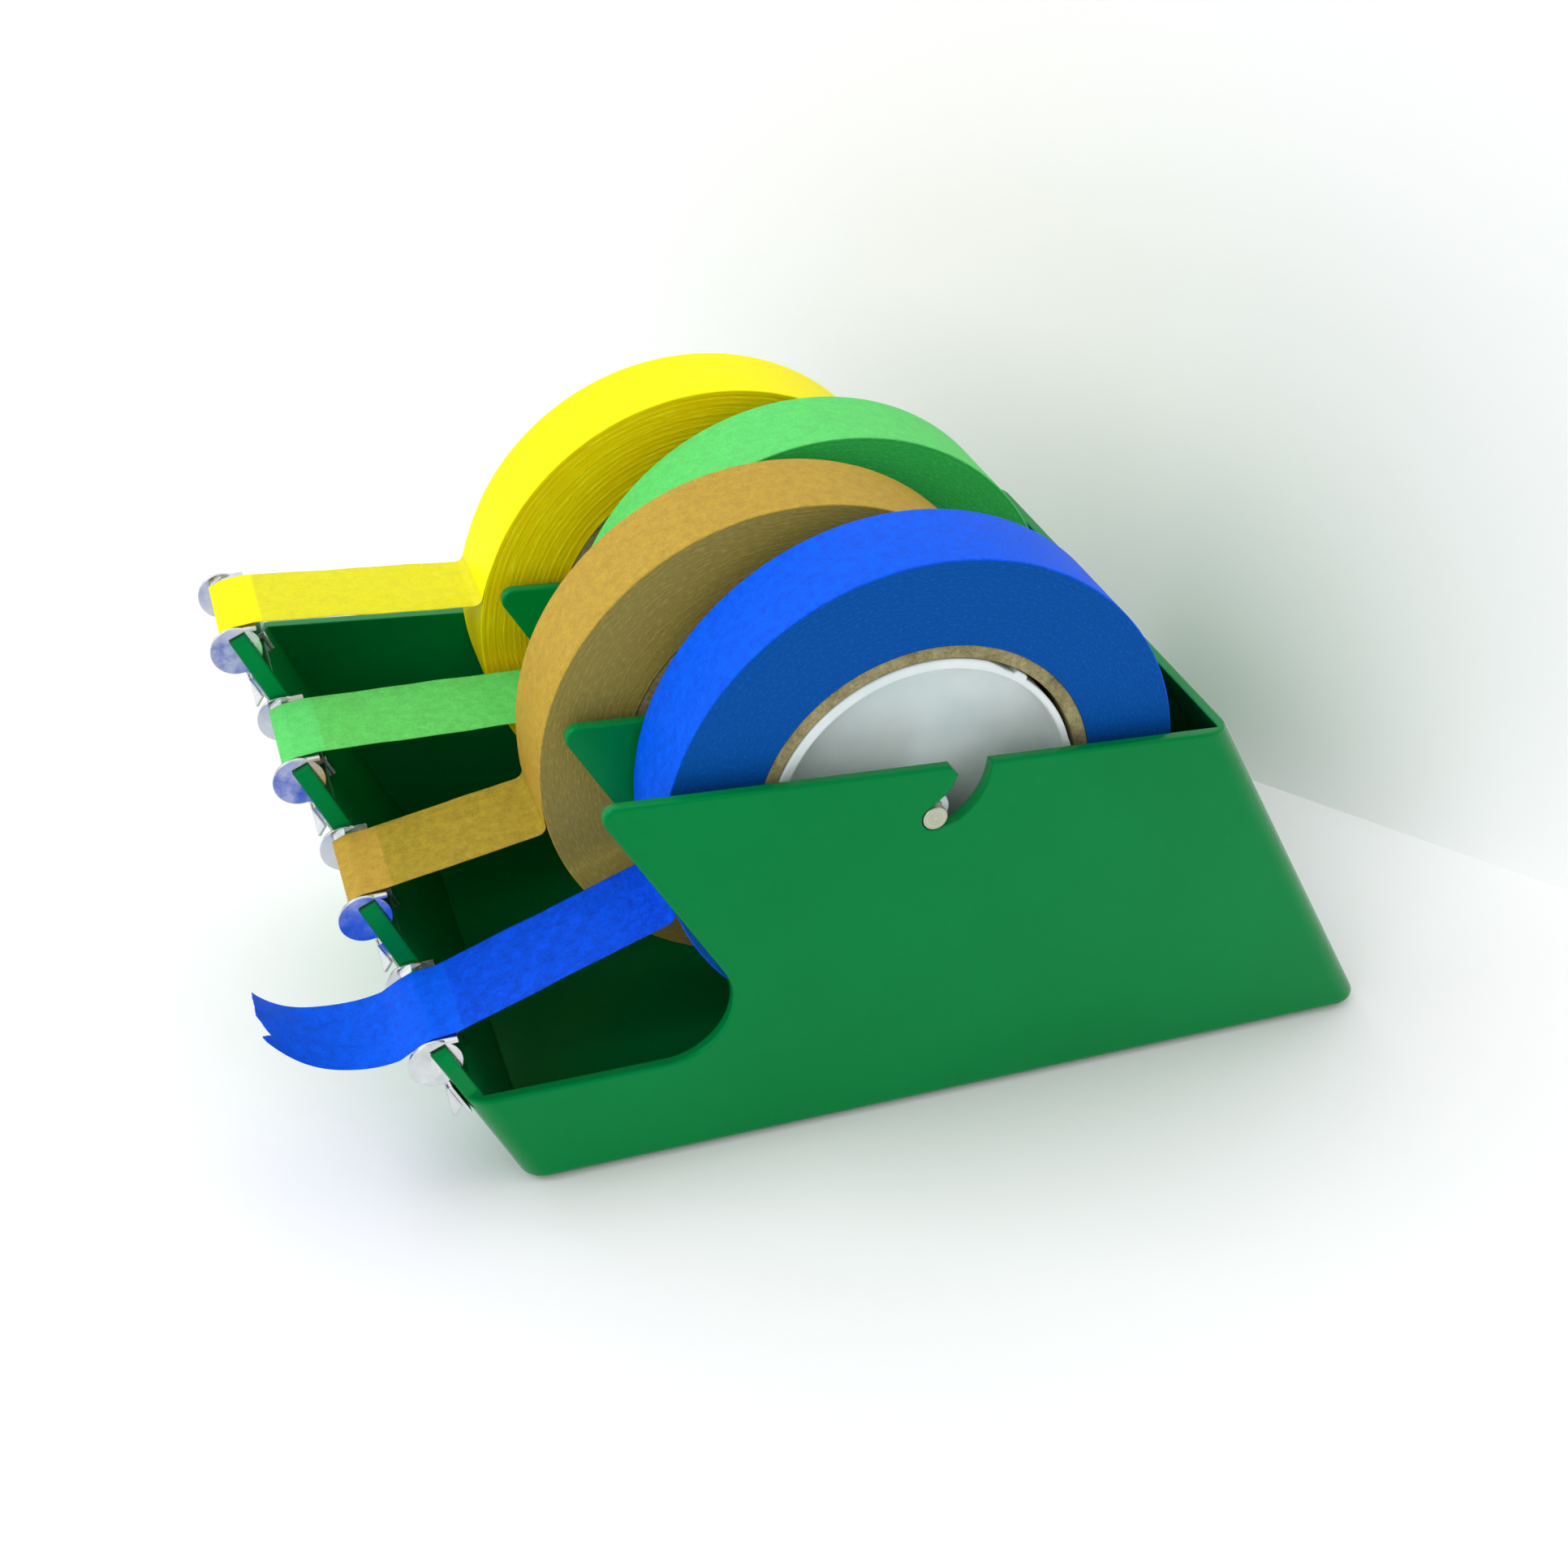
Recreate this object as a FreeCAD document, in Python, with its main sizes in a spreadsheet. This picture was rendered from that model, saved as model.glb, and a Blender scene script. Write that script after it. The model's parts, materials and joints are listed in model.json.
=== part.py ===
"""Desk tape dispenser for four rolls of paper masking tape.

A one-piece moulded tub holds four rolls side by side in four bays.  Each roll is a wound tape on a
cardboard core, pushed on to a plastic hub that spins on its own steel axle.  The axle drops into two
hooked slots, one in each wall of its bay, and every second axle sits further forward, so that the
ends of neighbouring axles pass each other.  The front wall leans outwards and its top edge climbs in
steps, so that each tape ends at its own height on its own cutter.

Frame: +X to the back, +Y to the high end of the front wall, +Z up, origin on the table under the
middle of the tub's floor.  All sizes are millimetres.
"""
import FreeCAD, Part

import math
import os
import re

import Sketcher
from FreeCAD import Placement, Rotation, Vector

# ---------------------------------------------------------------- driving sizes
SIZES = {
    # the tub
    "base_length": 229.0,        # along the floor, front corner to back corner
    "front_corner": 86.04,       # from the frame's origin forward to the front corner
    "wall": 3.0,                 # side walls and fins
    "front_wall": 4.4,
    "back_wall": 2.4,
    "floor_thick": 3.0,
    "bay_width": 30.4,           # clear width between two walls
    "front_lean": 0.47,          # forward run of the front wall for each unit of height
    "back_lean": 0.574,          # forward run of the back wall for each unit of height
    "fin_lean": 0.587,           # the same for the front edges of the fins and side walls
    "fin_foot": 79.7,            # from the front corner to where that edge meets the bottom plane
    "top_height": 99.9,          # top edge of the walls above the rear axle seat
    "top_fall": 0.049,           # drop of the top edge for each unit towards the back
    "low_edge": 28.2,            # height of the low front part of the near side wall
    "far_edge": 81.5,            # height of the low front part of the far side wall, at the front
    "far_fall": 0.075,           # drop of that edge for each unit towards the back
    "scoop_radius": 16.5,
    "nose_radius": 3.0,          # top front corners of the walls
    "corner_radius": 6.0,        # upright corners between the side walls and the front and back
    "base_round": 2.0,           # bottom edges
    "edge_round": 0.6,           # top edges of the walls
    "foot_height": 1.0,
    "foot_radius": 6.0,
    "foot_inset": 18.0,          # from the edges of the floor to the middle of a foot
    # axles and their hooked slots
    "axle_radius": 3.0,
    "axle_proud": 0.3,           # how far an axle end stands past the outer face of a wall
    "seat_rear": 98.6,           # rear seats, from the front corner
    "seat_stagger": 20.5,        # the front seats are this much nearer the front
    "seat_height": 86.4,
    "hook_radius": 13.0,         # centre line of the hooked slot
    "hook_angle": 72.0,          # from the level of the hook's centre down to the seat
    "slot_clearance": 1.1,
    "mouth_cut": 1.9,            # how far the front corner of a slot's mouth is cut back
    "seat_clearance": 0.25,
    # rolls
    "tape_width": 25.0,
    "roll_shift": 0.6,           # the rolls sit this far from the middle of their bays
    "blue_radius": 62.6,
    "brown_radius": 62.3,
    "green_radius": 61.4,
    "yellow_radius": 61.8,
    "core_bore": 38.1,
    "core_wall": 3.3,
    "hub_clearance": 0.3,
    "hub_rim": 2.6,
    "hub_web": 3.0,
    "web_recess": 7.0,
    "boss_radius": 4.8,
    "axle_fit": 0.08,            # running clearance all round the axle
    "roll_gap": 0.35,            # free space between parts that move past each other
    "blue_peel": 198.0,          # where the tape leaves the roll, in degrees about the axle
    "brown_peel": 192.2,
    "green_peel": 183.2,
    "yellow_peel": 169.0,
    # cutters, in a frame that leans with the front wall: X into the tub, Z up along the wall
    "ear_radius": 6.3,
    "first_head": 38.8,          # height of the lowest cutter's ears
    "head_rise": 18.6,           # each cutter is this much higher than the one before
    "plate": 0.8,                # bracket sheet
    "blade": 0.5,                # blade sheet
    "sheet_gap": 0.1,            # between the wall, the bracket and the blade
    "ear_gap": 1.0,              # between the tape's edge and an ear
    "far_ear_gap": 2.4,
    "notch_depth": 9.0,          # wall cut away below the ears' centre, along the wall
    "post_rise": 3.2,            # top of a post above the middle of the ears beside it
    "notch_gap": 0.5,
    "plate_drop": 17.0,          # lower edge of the bracket
    "plate_top": 7.4,            # the wide lower part starts this far below the ears' centre
    "plate_overhang": 3.0,       # and it is this much wider than the tape on each side
    "saddle_top": 5.1,
    "saddle_crest": 2.4,
    "saddle_rear": 7.5,
    "saddle_fall": 2.0,          # drop from the crest to the rear edge
    "tab_width": 2.0,
    "tab_length": 4.6,
    "tab_side": 2.0,             # the tab is this far from the middle of the bay
    "blade_drop": 14.0,
    "lip": 2.6,
    # loose ends of tape
    "strip_thick": 0.3,
    "tail_radius": 28.0,         # the blue tape's free end curls up in this arc
    "tail_start": 17.0,          # degrees before the lowest point
    "tail_end": 55.0,            # degrees past it
    "tail_ahead": 14.3,          # lowest point, ahead of the ears' centre
    "tail_above": 0.6,
}
COLOURS = ("blue", "brown", "green", "yellow")

doc = FreeCAD.newDocument("tape_dispenser")
sheet = doc.addObject("Spreadsheet::Sheet", "sizes")
for row, (alias, value) in enumerate(SIZES.items(), start=1):
    sheet.set("A%d" % row, alias)
    sheet.set("B%d" % row, str(value))
    sheet.setAlias("B%d" % row, alias)
doc.recompute()


def size(alias):
    """The value of one cell of the sheet."""
    return float(sheet.get(alias))


def cell(text):
    """Turn plain aliases in an expression into references to the sheet."""
    return re.sub(r"[a-z_]+", lambda word: ("sizes." if word[0] in SIZES else "") + word[0], text)


# Expressions that several pieces share.
WIDTH = "( 4 * bay_width + 5 * wall )"
PITCH = "( bay_width + wall )"
FRONT_X = "( - front_corner )"
SEAT_X = {"rear": FRONT_X + " + seat_rear", "front": FRONT_X + " + seat_rear - seat_stagger"}


def value(text):
    """Work out an expression of aliases."""
    return float(sheet.evalExpression(cell(text)))


# ---------------------------------------------------------------- helpers
def new_body(label):
    body = doc.addObject("PartDesign::Body", label)
    body.Label = label
    return body


def plane_of(body, role):
    for feature in body.Origin.OriginFeatures:
        if feature.Role == role:
            return feature
    raise ValueError(role)


def new_sketch(body, role, name, offset=None):
    """A sketch on one of the body's own origin planes; offset is an expression along its normal."""
    sketch = body.newObject("Sketcher::SketchObject", name)
    sketch.AttachmentSupport = [(plane_of(body, role), "")]
    sketch.MapMode = "FlatFace"
    if offset:
        sketch.setExpression(".AttachmentOffset.Base.z", cell(offset))
    return sketch


def fix_point(sketch, geometry, end, point):
    """Hold one end of a line, arc or circle at a point given by two expressions."""
    for kind, text in zip(("DistanceX", "DistanceY"), point):
        index = sketch.addConstraint(Sketcher.Constraint(kind, -1, 1, geometry, end, value(text)))
        sketch.setExpression("Constraints[%d]" % index, cell(text))


def outline(sketch, points, arcs=None):
    """A closed outline through points given as pairs of expressions.

    Its sides are straight, except those in arcs: index of the side -> (centre, radius, turn), with
    turn +1 for a side that runs anticlockwise in the sketch and -1 for one that runs clockwise.
    """
    arcs = arcs or {}
    places = [Vector(value(x), value(y), 0) for x, y in points]
    first = sketch.GeometryCount
    count = len(points)
    starts = []
    for index in range(count):
        here = places[index]
        there = places[(index + 1) % count]
        if index not in arcs:
            sketch.addGeometry(Part.LineSegment(here, there))
            starts.append(1)
            continue
        centre, radius, turn = arcs[index]
        middle = Vector(value(centre[0]), value(centre[1]), 0)
        low, high = (here, there) if turn > 0 else (there, here)
        angles = [math.atan2(spot.y - middle.y, spot.x - middle.x) for spot in (low, high)]
        if angles[1] < angles[0]:
            angles[1] += 2 * math.pi
        circle = Part.Circle(middle, Vector(0, 0, 1), value(radius))
        sketch.addGeometry(Part.ArcOfCircle(circle, angles[0], angles[1]))
        starts.append(1 if turn > 0 else 2)
    for index in range(count):
        following = (index + 1) % count
        sketch.addConstraint(Sketcher.Constraint(
            "Coincident", first + index, 3 - starts[index], first + following, starts[following]))
    for index, point in enumerate(points):
        fix_point(sketch, first + index, starts[index], point)
    for index, (centre, radius, turn) in arcs.items():
        number = sketch.addConstraint(Sketcher.Constraint("Radius", first + index, value(radius)))
        sketch.setExpression("Constraints[%d]" % number, cell(radius))


def ring(sketch, centre, radius):
    """A circle whose centre and radius are expressions."""
    place = Vector(value(centre[0]), value(centre[1]), 0)
    geometry = sketch.addGeometry(Part.Circle(place, Vector(0, 0, 1), value(radius)))
    fix_point(sketch, geometry, 3, centre)
    index = sketch.addConstraint(Sketcher.Constraint("Radius", geometry, value(radius)))
    sketch.setExpression("Constraints[%d]" % index, cell(radius))


def pad(body, sketch, length, middle=False, reverse=False):
    feature = body.newObject("PartDesign::Pad", sketch.Name + "_pad")
    feature.Profile = sketch
    feature.Midplane = middle
    feature.Reversed = reverse
    feature.setExpression("Length", cell(length))
    sketch.Visibility = False
    doc.recompute()
    return feature


def pocket(body, sketch, length, middle=False, reverse=False):
    """Cut a sketch out of a body, and make sure that it removed something."""
    before = body.Shape.Volume
    feature = body.newObject("PartDesign::Pocket", sketch.Name + "_pocket")
    feature.Profile = sketch
    feature.Midplane = middle
    feature.Reversed = reverse
    feature.setExpression("Length", cell(length))
    doc.recompute()
    if body.Shape.Volume > before - 0.01:
        raise RuntimeError(sketch.Name + " cuts nothing")
    return feature


def revolve(body, sketch):
    """Turn a sketch of the XY plane about the Y axis."""
    feature = body.newObject("PartDesign::Revolution", sketch.Name + "_turned")
    feature.Profile = sketch
    feature.ReferenceAxis = (sketch, ["V_Axis"])
    feature.Angle = 360
    sketch.Visibility = False
    doc.recompute()
    return feature


def place(thing, x, y, z):
    """Bind an object's position to three expressions."""
    for axis, text in zip("xyz", (x, y, z)):
        thing.setExpression(".Placement.Base." + axis, cell(text))


def repeat_along_y(body, feature, count, spacing):
    pattern = body.newObject("PartDesign::LinearPattern", feature.Name + "_row")
    pattern.Originals = [feature]
    pattern.Direction = (plane_of(body, "Y_Axis"), [""])
    pattern.Occurrences = count
    pattern.setExpression("Length", cell("%d * %s" % (count - 1, spacing)))
    body.Tip = pattern
    doc.recompute()
    return pattern


def round_edges(body, name, radius, chosen):
    """Round the edges of the body's last feature for which chosen(edge) is true."""
    base = body.Tip
    names = ["Edge%d" % (index + 1) for index, edge in enumerate(base.Shape.Edges) if chosen(edge)]
    if not names:
        raise RuntimeError(name + " finds no edge")
    feature = body.newObject("PartDesign::Fillet", name)
    feature.Base = (base, names)
    feature.setExpression("Radius", cell(radius))
    doc.recompute()
    return feature


def middle_of(edge):
    return edge.valueAt((edge.FirstParameter + edge.LastParameter) / 2)


def near(first, second, tolerance=0.05):
    return abs(first - second) < tolerance


# ---------------------------------------------------------------- places that pieces share
def bay_middle(index):
    """Y of the middle of a bay, as an expression."""
    return "( %s * ( %d - 1.5 ) )" % (PITCH, index)


def row_of(index):
    return "rear" if index % 2 == 0 else "front"


def head_height(index):
    return "( first_head + %d * head_rise )" % index


def roll_middle(index):
    """Y of the middle of a roll."""
    return "( %s + roll_shift )" % bay_middle(index)


def head_place(index):
    """X and Z of the ears' centre, on the outer face of the front wall."""
    level = head_height(index)
    return "( %s - front_lean * %s )" % (FRONT_X, level), "( foot_height + %s )" % level


def axle_place(index):
    return SEAT_X[row_of(index)], "( foot_height + seat_height )"


# ---------------------------------------------------------------- the tub
def side_outline(sketch):
    """The tub seen from the side, as if the front wall ran up to the level of the top edge."""
    top_front_z = "( top_height + top_fall * seat_rear ) / ( 1 - top_fall * front_lean )"
    top_back_z = "( top_height - top_fall * ( base_length - seat_rear ) ) / ( 1 - top_fall * back_lean )"
    outline(sketch, [
        (FRONT_X, "foot_height"),
        (FRONT_X + " + base_length", "foot_height"),
        (FRONT_X + " + base_length - back_lean * ( %s )" % top_back_z, "foot_height + ( %s )" % top_back_z),
        (FRONT_X + " - front_lean * ( %s )" % top_front_z, "foot_height + ( %s )" % top_front_z),
    ])


def cut_bays(body):
    """Hollow the four bays behind the fins' front edges, then the open trough in front of them."""
    above = "foot_height + top_height + 15"
    height = "( top_height + 15 )"
    front = "( front_wall * sqrt( 1 + front_lean ^ 2 ) )"
    back = "( back_wall * sqrt( 1 + back_lean ^ 2 ) )"
    bay = new_sketch(body, "XZ_Plane", "bay", "%s / 2 - wall" % WIDTH)
    outline(bay, [
        (FRONT_X + " + 20 + front_wall", "foot_height + floor_thick"),
        (FRONT_X + " + base_length - back_lean * floor_thick - %s" % back, "foot_height + floor_thick"),
        (FRONT_X + " + base_length - back_lean * %s - %s" % (height, back), above),
        (FRONT_X + " + 20 + front_wall - front_lean * %s" % height, above),
    ])
    first = pocket(body, bay, "bay_width")
    repeat_along_y(body, first, 4, PITCH)
    trough = new_sketch(body, "XZ_Plane", "trough")
    outline(trough, [
        (FRONT_X + " - front_lean * floor_thick + %s" % front, "foot_height + floor_thick"),
        (FRONT_X + " + fin_foot - fin_lean * floor_thick", "foot_height + floor_thick"),
        (FRONT_X + " + fin_foot - fin_lean * %s" % height, above),
        (FRONT_X + " - front_lean * %s + %s" % (height, front), above),
    ])
    pocket(body, trough, "%s - 2 * wall" % WIDTH, middle=True)


def cut_side_walls(body):
    """Give the side walls their low front parts: the near one is low, the far one much higher."""
    above = "foot_height + top_height + 15"
    height = "( top_height + 15 )"
    ahead = FRONT_X + " - front_lean * %s - 20" % height
    for name, side, level, fall in (("near", 1, "low_edge", "0"), ("far", -1, "far_edge", "far_fall")):
        corner_z = "( ( %s - %s * fin_foot ) / ( 1 - %s * fin_lean ) )" % (level, fall, fall)
        cut = new_sketch(body, "XZ_Plane", name + "_scoop", "%d * ( %s / 2 - wall )" % (side, WIDTH))
        outline(cut, [
            (ahead, "foot_height + %s - %s * ( - front_lean * %s - 20 )" % (level, fall, height)),
            (FRONT_X + " + fin_foot - fin_lean * %s" % corner_z, "foot_height + %s" % corner_z),
            (FRONT_X + " + fin_foot - fin_lean * %s" % height, above),
            (ahead, above),
        ])
        pocket(body, cut, "2 * wall", reverse=side > 0)


def cut_front_steps(body):
    """Cut the front wall's top edge into its climbing steps, with a notch for each cutter.

    Between two notches the edge is a short steep ramp, up to just above the next ears' centre.  The
    sketch lies parallel to the wall, 15 mm behind it, so every cut runs square to the wall.
    """
    stretch = "sqrt( 1 + front_lean ^ 2 )"
    y_near = "- %s / 2" % WIDTH
    low = "low_edge * %s" % stretch
    top = "( top_height + 20 ) * %s" % stretch
    points = [("%s - 5" % y_near, low), ("%s + wall / 2" % y_near, low)]
    for index in range(4):
        level = head_height(index)
        near_end = "%s + roll_shift - tape_width / 2 - ear_gap - plate - notch_gap" % bay_middle(index)
        far_end = "%s + roll_shift + tape_width / 2 + far_ear_gap + plate + notch_gap" % bay_middle(index)
        bottom = "%s * %s - notch_depth" % (level, stretch)
        points.append((near_end, "( %s + post_rise ) * %s" % (level, stretch)))
        points.append((near_end, bottom))
        if index < 3:
            points.append((far_end, bottom))
            points.append((far_end, "( %s + ear_radius - 1 ) * %s" % (level, stretch)))
        else:
            points.append(("%s / 2 - wall" % WIDTH, bottom))
            points.append(("%s / 2 - wall" % WIDTH, top))
    points.append(("%s - 5" % y_near, top))
    steps = new_sketch(body, "YZ_Plane", "front_steps")
    steps.AttachmentOffset = Placement(Vector(), Rotation(Vector(-1, 0, 0), 25))
    steps.setExpression(".AttachmentOffset.Rotation.Angle", cell("atan( front_lean )"))
    steps.setExpression(".AttachmentOffset.Base.y", cell("foot_height + 15 * sin( atan( front_lean ) )"))
    steps.setExpression(".AttachmentOffset.Base.z", cell(FRONT_X + " + 15 * cos( atan( front_lean ) )"))
    outline(steps, points)
    pocket(body, steps, "100")


def cut_slots(body):
    """Cut the hooked slots: each axle has one in both walls of its bay, and in no other wall."""
    for index, colour in enumerate(COLOURS):
        x, z = axle_place(index)
        for side, outward in (("near", -1), ("far", 1)):
            wall_middle = "- ( %s + %d * %s / 2 )" % (bay_middle(index), outward, PITCH)
            hook = new_sketch(body, "XZ_Plane", "%s_%s_hook" % (colour, side), wall_middle)
            hook_outline(hook, x, z)
            pocket(body, hook, "wall + 1", middle=True)
            seat = new_sketch(body, "XZ_Plane", "%s_%s_seat" % (colour, side), wall_middle)
            ring(seat, (x, z), "axle_radius + seat_clearance")
            pocket(body, seat, "wall + 1", middle=True)


def hook_outline(sketch, x, z):
    """One hooked slot without its seat: the mouth, an arc that curls forward and a taper."""
    centre_x = "( %s - hook_radius * cos( hook_angle * 1 deg ) )" % x
    centre_z = "( %s + hook_radius * sin( hook_angle * 1 deg ) )" % z
    inner = "( hook_radius - axle_radius - slot_clearance )"
    outer = "( hook_radius + axle_radius + slot_clearance )"
    turn = "( ( hook_angle - 17 ) * 1 deg )"
    down = "( hook_angle * 1 deg )"
    seat = "( axle_radius + seat_clearance )"
    centre = (centre_x, centre_z)

    def on_arc(radius, angle):
        return "%s + %s * cos%s" % (centre_x, radius, angle), "%s - %s * sin%s" % (centre_z, radius, angle)

    brim = "( foot_height + top_height - top_fall * ( %s + %s - %s - seat_rear ) )" % (centre_x, inner, FRONT_X)
    lip = "%s + %s - mouth_cut" % (centre_x, inner)
    outline(sketch, [
        (lip, "%s + 20" % centre_z),
        ("%s + %s" % (centre_x, outer), "%s + 20" % centre_z),
        ("%s + %s" % (centre_x, outer), centre_z),
        on_arc(outer, turn),
        on_arc("( hook_radius + %s )" % seat, down),
        on_arc("( hook_radius - %s )" % seat, down),
        on_arc(inner, turn),
        on_arc(inner, "( 8 * 1 deg )"),
        (lip, brim),
    ], {2: (centre, outer, -1), 6: (centre, inner, 1)})


def body_shell():
    body = new_body("body_shell")
    side = new_sketch(body, "XZ_Plane", "side")
    side_outline(side)
    pad(body, side, WIDTH, middle=True)
    half = value(WIDTH) / 2
    foot = size("foot_height")

    def upright(edge):
        a, b = edge.Vertexes[0].Point, edge.Vertexes[-1].Point
        return abs(a.z - b.z) > 50 and near(abs(a.y), half) and near(abs(b.y), half)

    round_edges(body, "upright_corners", "corner_radius", upright)
    round_edges(body, "bottom_edges", "base_round", lambda e: near(middle_of(e).z, foot))
    cut_bays(body)
    cut_side_walls(body)
    round_noses(body)
    cut_front_steps(body)
    cut_slots(body)
    return body


def round_noses(body):
    """Round the scoop of the near side wall and the top front corners of all five walls."""
    half = value(WIDTH) / 2
    wall = size("wall")

    def across(edge, x_from_front, level):
        spot = middle_of(edge)
        return (near(edge.Length, wall) and near(spot.x, value(FRONT_X) + x_from_front, 0.3)
                and near(spot.z, size("foot_height") + level, 0.3))

    low = size("low_edge")
    low_x = size("fin_foot") - size("fin_lean") * low
    top = value("( top_height - top_fall * ( fin_foot - seat_rear ) ) / ( 1 - top_fall * fin_lean )")
    top_x = size("fin_foot") - size("fin_lean") * top
    round_edges(body, "scoop", "scoop_radius",
                lambda e: across(e, low_x, low) and middle_of(e).y < wall - half)
    round_edges(body, "noses", "nose_radius", lambda e: across(e, top_x, top))
    round_edges(body, "top_edges", "edge_round", top_edge)


def top_edge(edge):
    """True for the long top edges of the walls and fins."""
    start, end = edge.Vertexes[0].Point, edge.Vertexes[-1].Point
    high = min(start.z, end.z) > size("foot_height") + size("top_height") - 12
    return high and edge.Length > 20 and near(start.y, end.y)


def rubber_feet():
    """Four thin round feet under the corners of the floor."""
    feet = []
    for number, (along, across) in enumerate(((0, -1), (0, 1), (1, -1), (1, 1)), start=1):
        foot = doc.addObject("Part::Cylinder", "foot_%d" % number)
        foot.setExpression("Radius", cell("foot_radius"))
        foot.setExpression("Height", cell("foot_height"))
        inward = "%s + foot_inset + %d * ( base_length - 2 * foot_inset )" % (FRONT_X, along)
        place(foot, inward, "%d * ( %s / 2 - foot_inset )" % (across, WIDTH), "0")
        feet.append(foot)
    group = doc.addObject("Part::Compound", "rubber_feet")
    group.Links = feet
    return group


# ---------------------------------------------------------------- cutters
def on_front_wall(body, index):
    """Place a body at a cutter's ears, leaning with the front wall."""
    x, z = head_place(index)
    body.Placement = Placement(Vector(), Rotation(Vector(0, -1, 0), 25))
    body.setExpression(".Placement.Rotation.Angle", cell("atan( front_lean )"))
    place(body, x, roll_middle(index), z)


def cutter_bracket(index):
    """A bent steel sheet: a plate outside the wall, a saddle for the tape, two ears and a tab."""
    body = new_body("cutter_bracket_" + COLOURS[index])
    outside = "( - sheet_gap - plate )"
    profile = new_sketch(body, "XZ_Plane", "profile", "( ear_gap - far_ear_gap ) / 2")
    outline(profile, [
        (outside, "- plate_drop"),
        ("- sheet_gap", "- plate_drop"),
        ("- sheet_gap", "saddle_top - 0.6 - plate"),
        ("saddle_crest", "saddle_top - plate"),
        ("saddle_rear - 0.3", "saddle_top - saddle_fall - plate"),
        ("saddle_rear", "saddle_top - saddle_fall"),
        ("saddle_crest", "saddle_top"),
        (outside, "saddle_top - 0.6"),
    ])
    pad(body, profile, "tape_width + ear_gap + far_ear_gap + 2 * plate", middle=True)
    wide = new_sketch(body, "XZ_Plane", "wide")
    outline(wide, [
        (outside, "- plate_drop"),
        ("- sheet_gap", "- plate_drop"),
        ("- sheet_gap", "- plate_top"),
        (outside, "- plate_top"),
    ])
    pad(body, wide, "tape_width + 2 * plate_overhang", middle=True)
    for name, side, gap in (("near_ear", 1, "ear_gap"), ("far_ear", -1, "far_ear_gap")):
        ear = new_sketch(body, "XZ_Plane", name, "%d * ( tape_width / 2 + %s + plate / 2 )" % (side, gap))
        ring(ear, ("0", "0"), "ear_radius")
        pad(body, ear, "plate", middle=True)
    tab = new_sketch(body, "XZ_Plane", "tab", "- tab_side")
    inside = "( front_wall + sheet_gap )"
    outline(tab, [
        (outside, "- notch_depth + sheet_gap"),
        (inside, "- notch_depth + sheet_gap"),
        (inside, "- notch_depth + sheet_gap + plate - tab_length"),
        (inside + " + plate", "- notch_depth + sheet_gap + plate - tab_length"),
        (inside + " + plate", "- notch_depth + sheet_gap + plate"),
        (outside, "- notch_depth + sheet_gap + plate"),
    ])
    pad(body, tab, "tab_width", middle=True)
    on_front_wall(body, index)
    return body


def cutter_blade(index):
    """A thin plate in front of the bracket, ground to an edge on top, with a lip bent outwards."""
    body = new_body("cutter_blade_" + COLOURS[index])
    inner = "( - 2 * sheet_gap - plate )"
    outer = "( - 2 * sheet_gap - plate - blade )"
    narrow = new_sketch(body, "XZ_Plane", "narrow")
    outline(narrow, [
        (inner, "- plate_top - 1"),
        (inner, "saddle_top"),
        (outer, "saddle_top - 0.9"),
        (outer, "- plate_top - 1"),
    ])
    pad(body, narrow, "tape_width + 2 * ear_gap - 2 * roll_gap", middle=True)
    wide = new_sketch(body, "XZ_Plane", "wide")
    outline(wide, [
        (inner, "- plate_top"),
        (outer, "- plate_top"),
        (outer, "0.3 - blade_drop"),
        (outer + " - lip", "0.3 - blade_drop - lip * 0.62"),
        (inner + " - lip", "- blade_drop - lip * 0.62 - 0.1"),
        (inner, "- blade_drop"),
    ])
    pad(body, wide, "tape_width + 2 * plate_overhang", middle=True)
    on_front_wall(body, index)
    return body


# ---------------------------------------------------------------- axles and rolls
def axle(index):
    """A plain steel pin that lies in the slots of both walls of its bay."""
    body = new_body("axle_" + COLOURS[index])
    circle = new_sketch(body, "XZ_Plane", "circle")
    ring(circle, ("0", "0"), "axle_radius")
    pad(body, circle, "bay_width + 2 * wall + 2 * axle_proud", middle=True)
    ends = round_edges(body, "ends", "axle_proud", lambda e: e.Closed)
    ends.Label = "end_rounds_" + COLOURS[index]
    x, z = axle_place(index)
    place(body, x, bay_middle(index), z)
    return body


def hub(index):
    """A plastic reel: a rim inside the core, a recessed web, and a boss as long as the bay is wide."""
    body = new_body("hub_" + COLOURS[index])
    half = new_sketch(body, "XY_Plane", "half_section")
    bore = "axle_radius + axle_fit"
    rim = "core_bore - hub_clearance"
    inside = "core_bore - hub_clearance - hub_rim"
    near_face = "- tape_width / 2"
    web_near = "- tape_width / 2 + web_recess"
    web_far = "- tape_width / 2 + web_recess + hub_web"
    boss_near = "- bay_width / 2 - roll_shift + roll_gap"
    boss_far = "bay_width / 2 - roll_shift - roll_gap"
    outline(half, [
        (bore, boss_near), ("boss_radius", boss_near), ("boss_radius", web_near), (inside, web_near),
        (inside, near_face), (rim, near_face), (rim, "tape_width / 2"), (inside, "tape_width / 2"),
        (inside, web_far), ("boss_radius", web_far), ("boss_radius", boss_far), (bore, boss_far),
    ])
    revolve(body, half)
    x, z = axle_place(index)
    place(body, x, roll_middle(index), z)
    return body


def tube(label, index, inner, outer, length):
    """A plain tube about a roll's axis."""
    body = new_body(label)
    section = new_sketch(body, "XZ_Plane", "section")
    ring(section, ("0", "0"), outer)
    ring(section, ("0", "0"), inner)
    pad(body, section, length, middle=True)
    x, z = axle_place(index)
    place(body, x, roll_middle(index), z)
    return body


def core(index):
    return tube("core_" + COLOURS[index], index, "core_bore", "core_bore + core_wall", "tape_width - 0.4")


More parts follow.
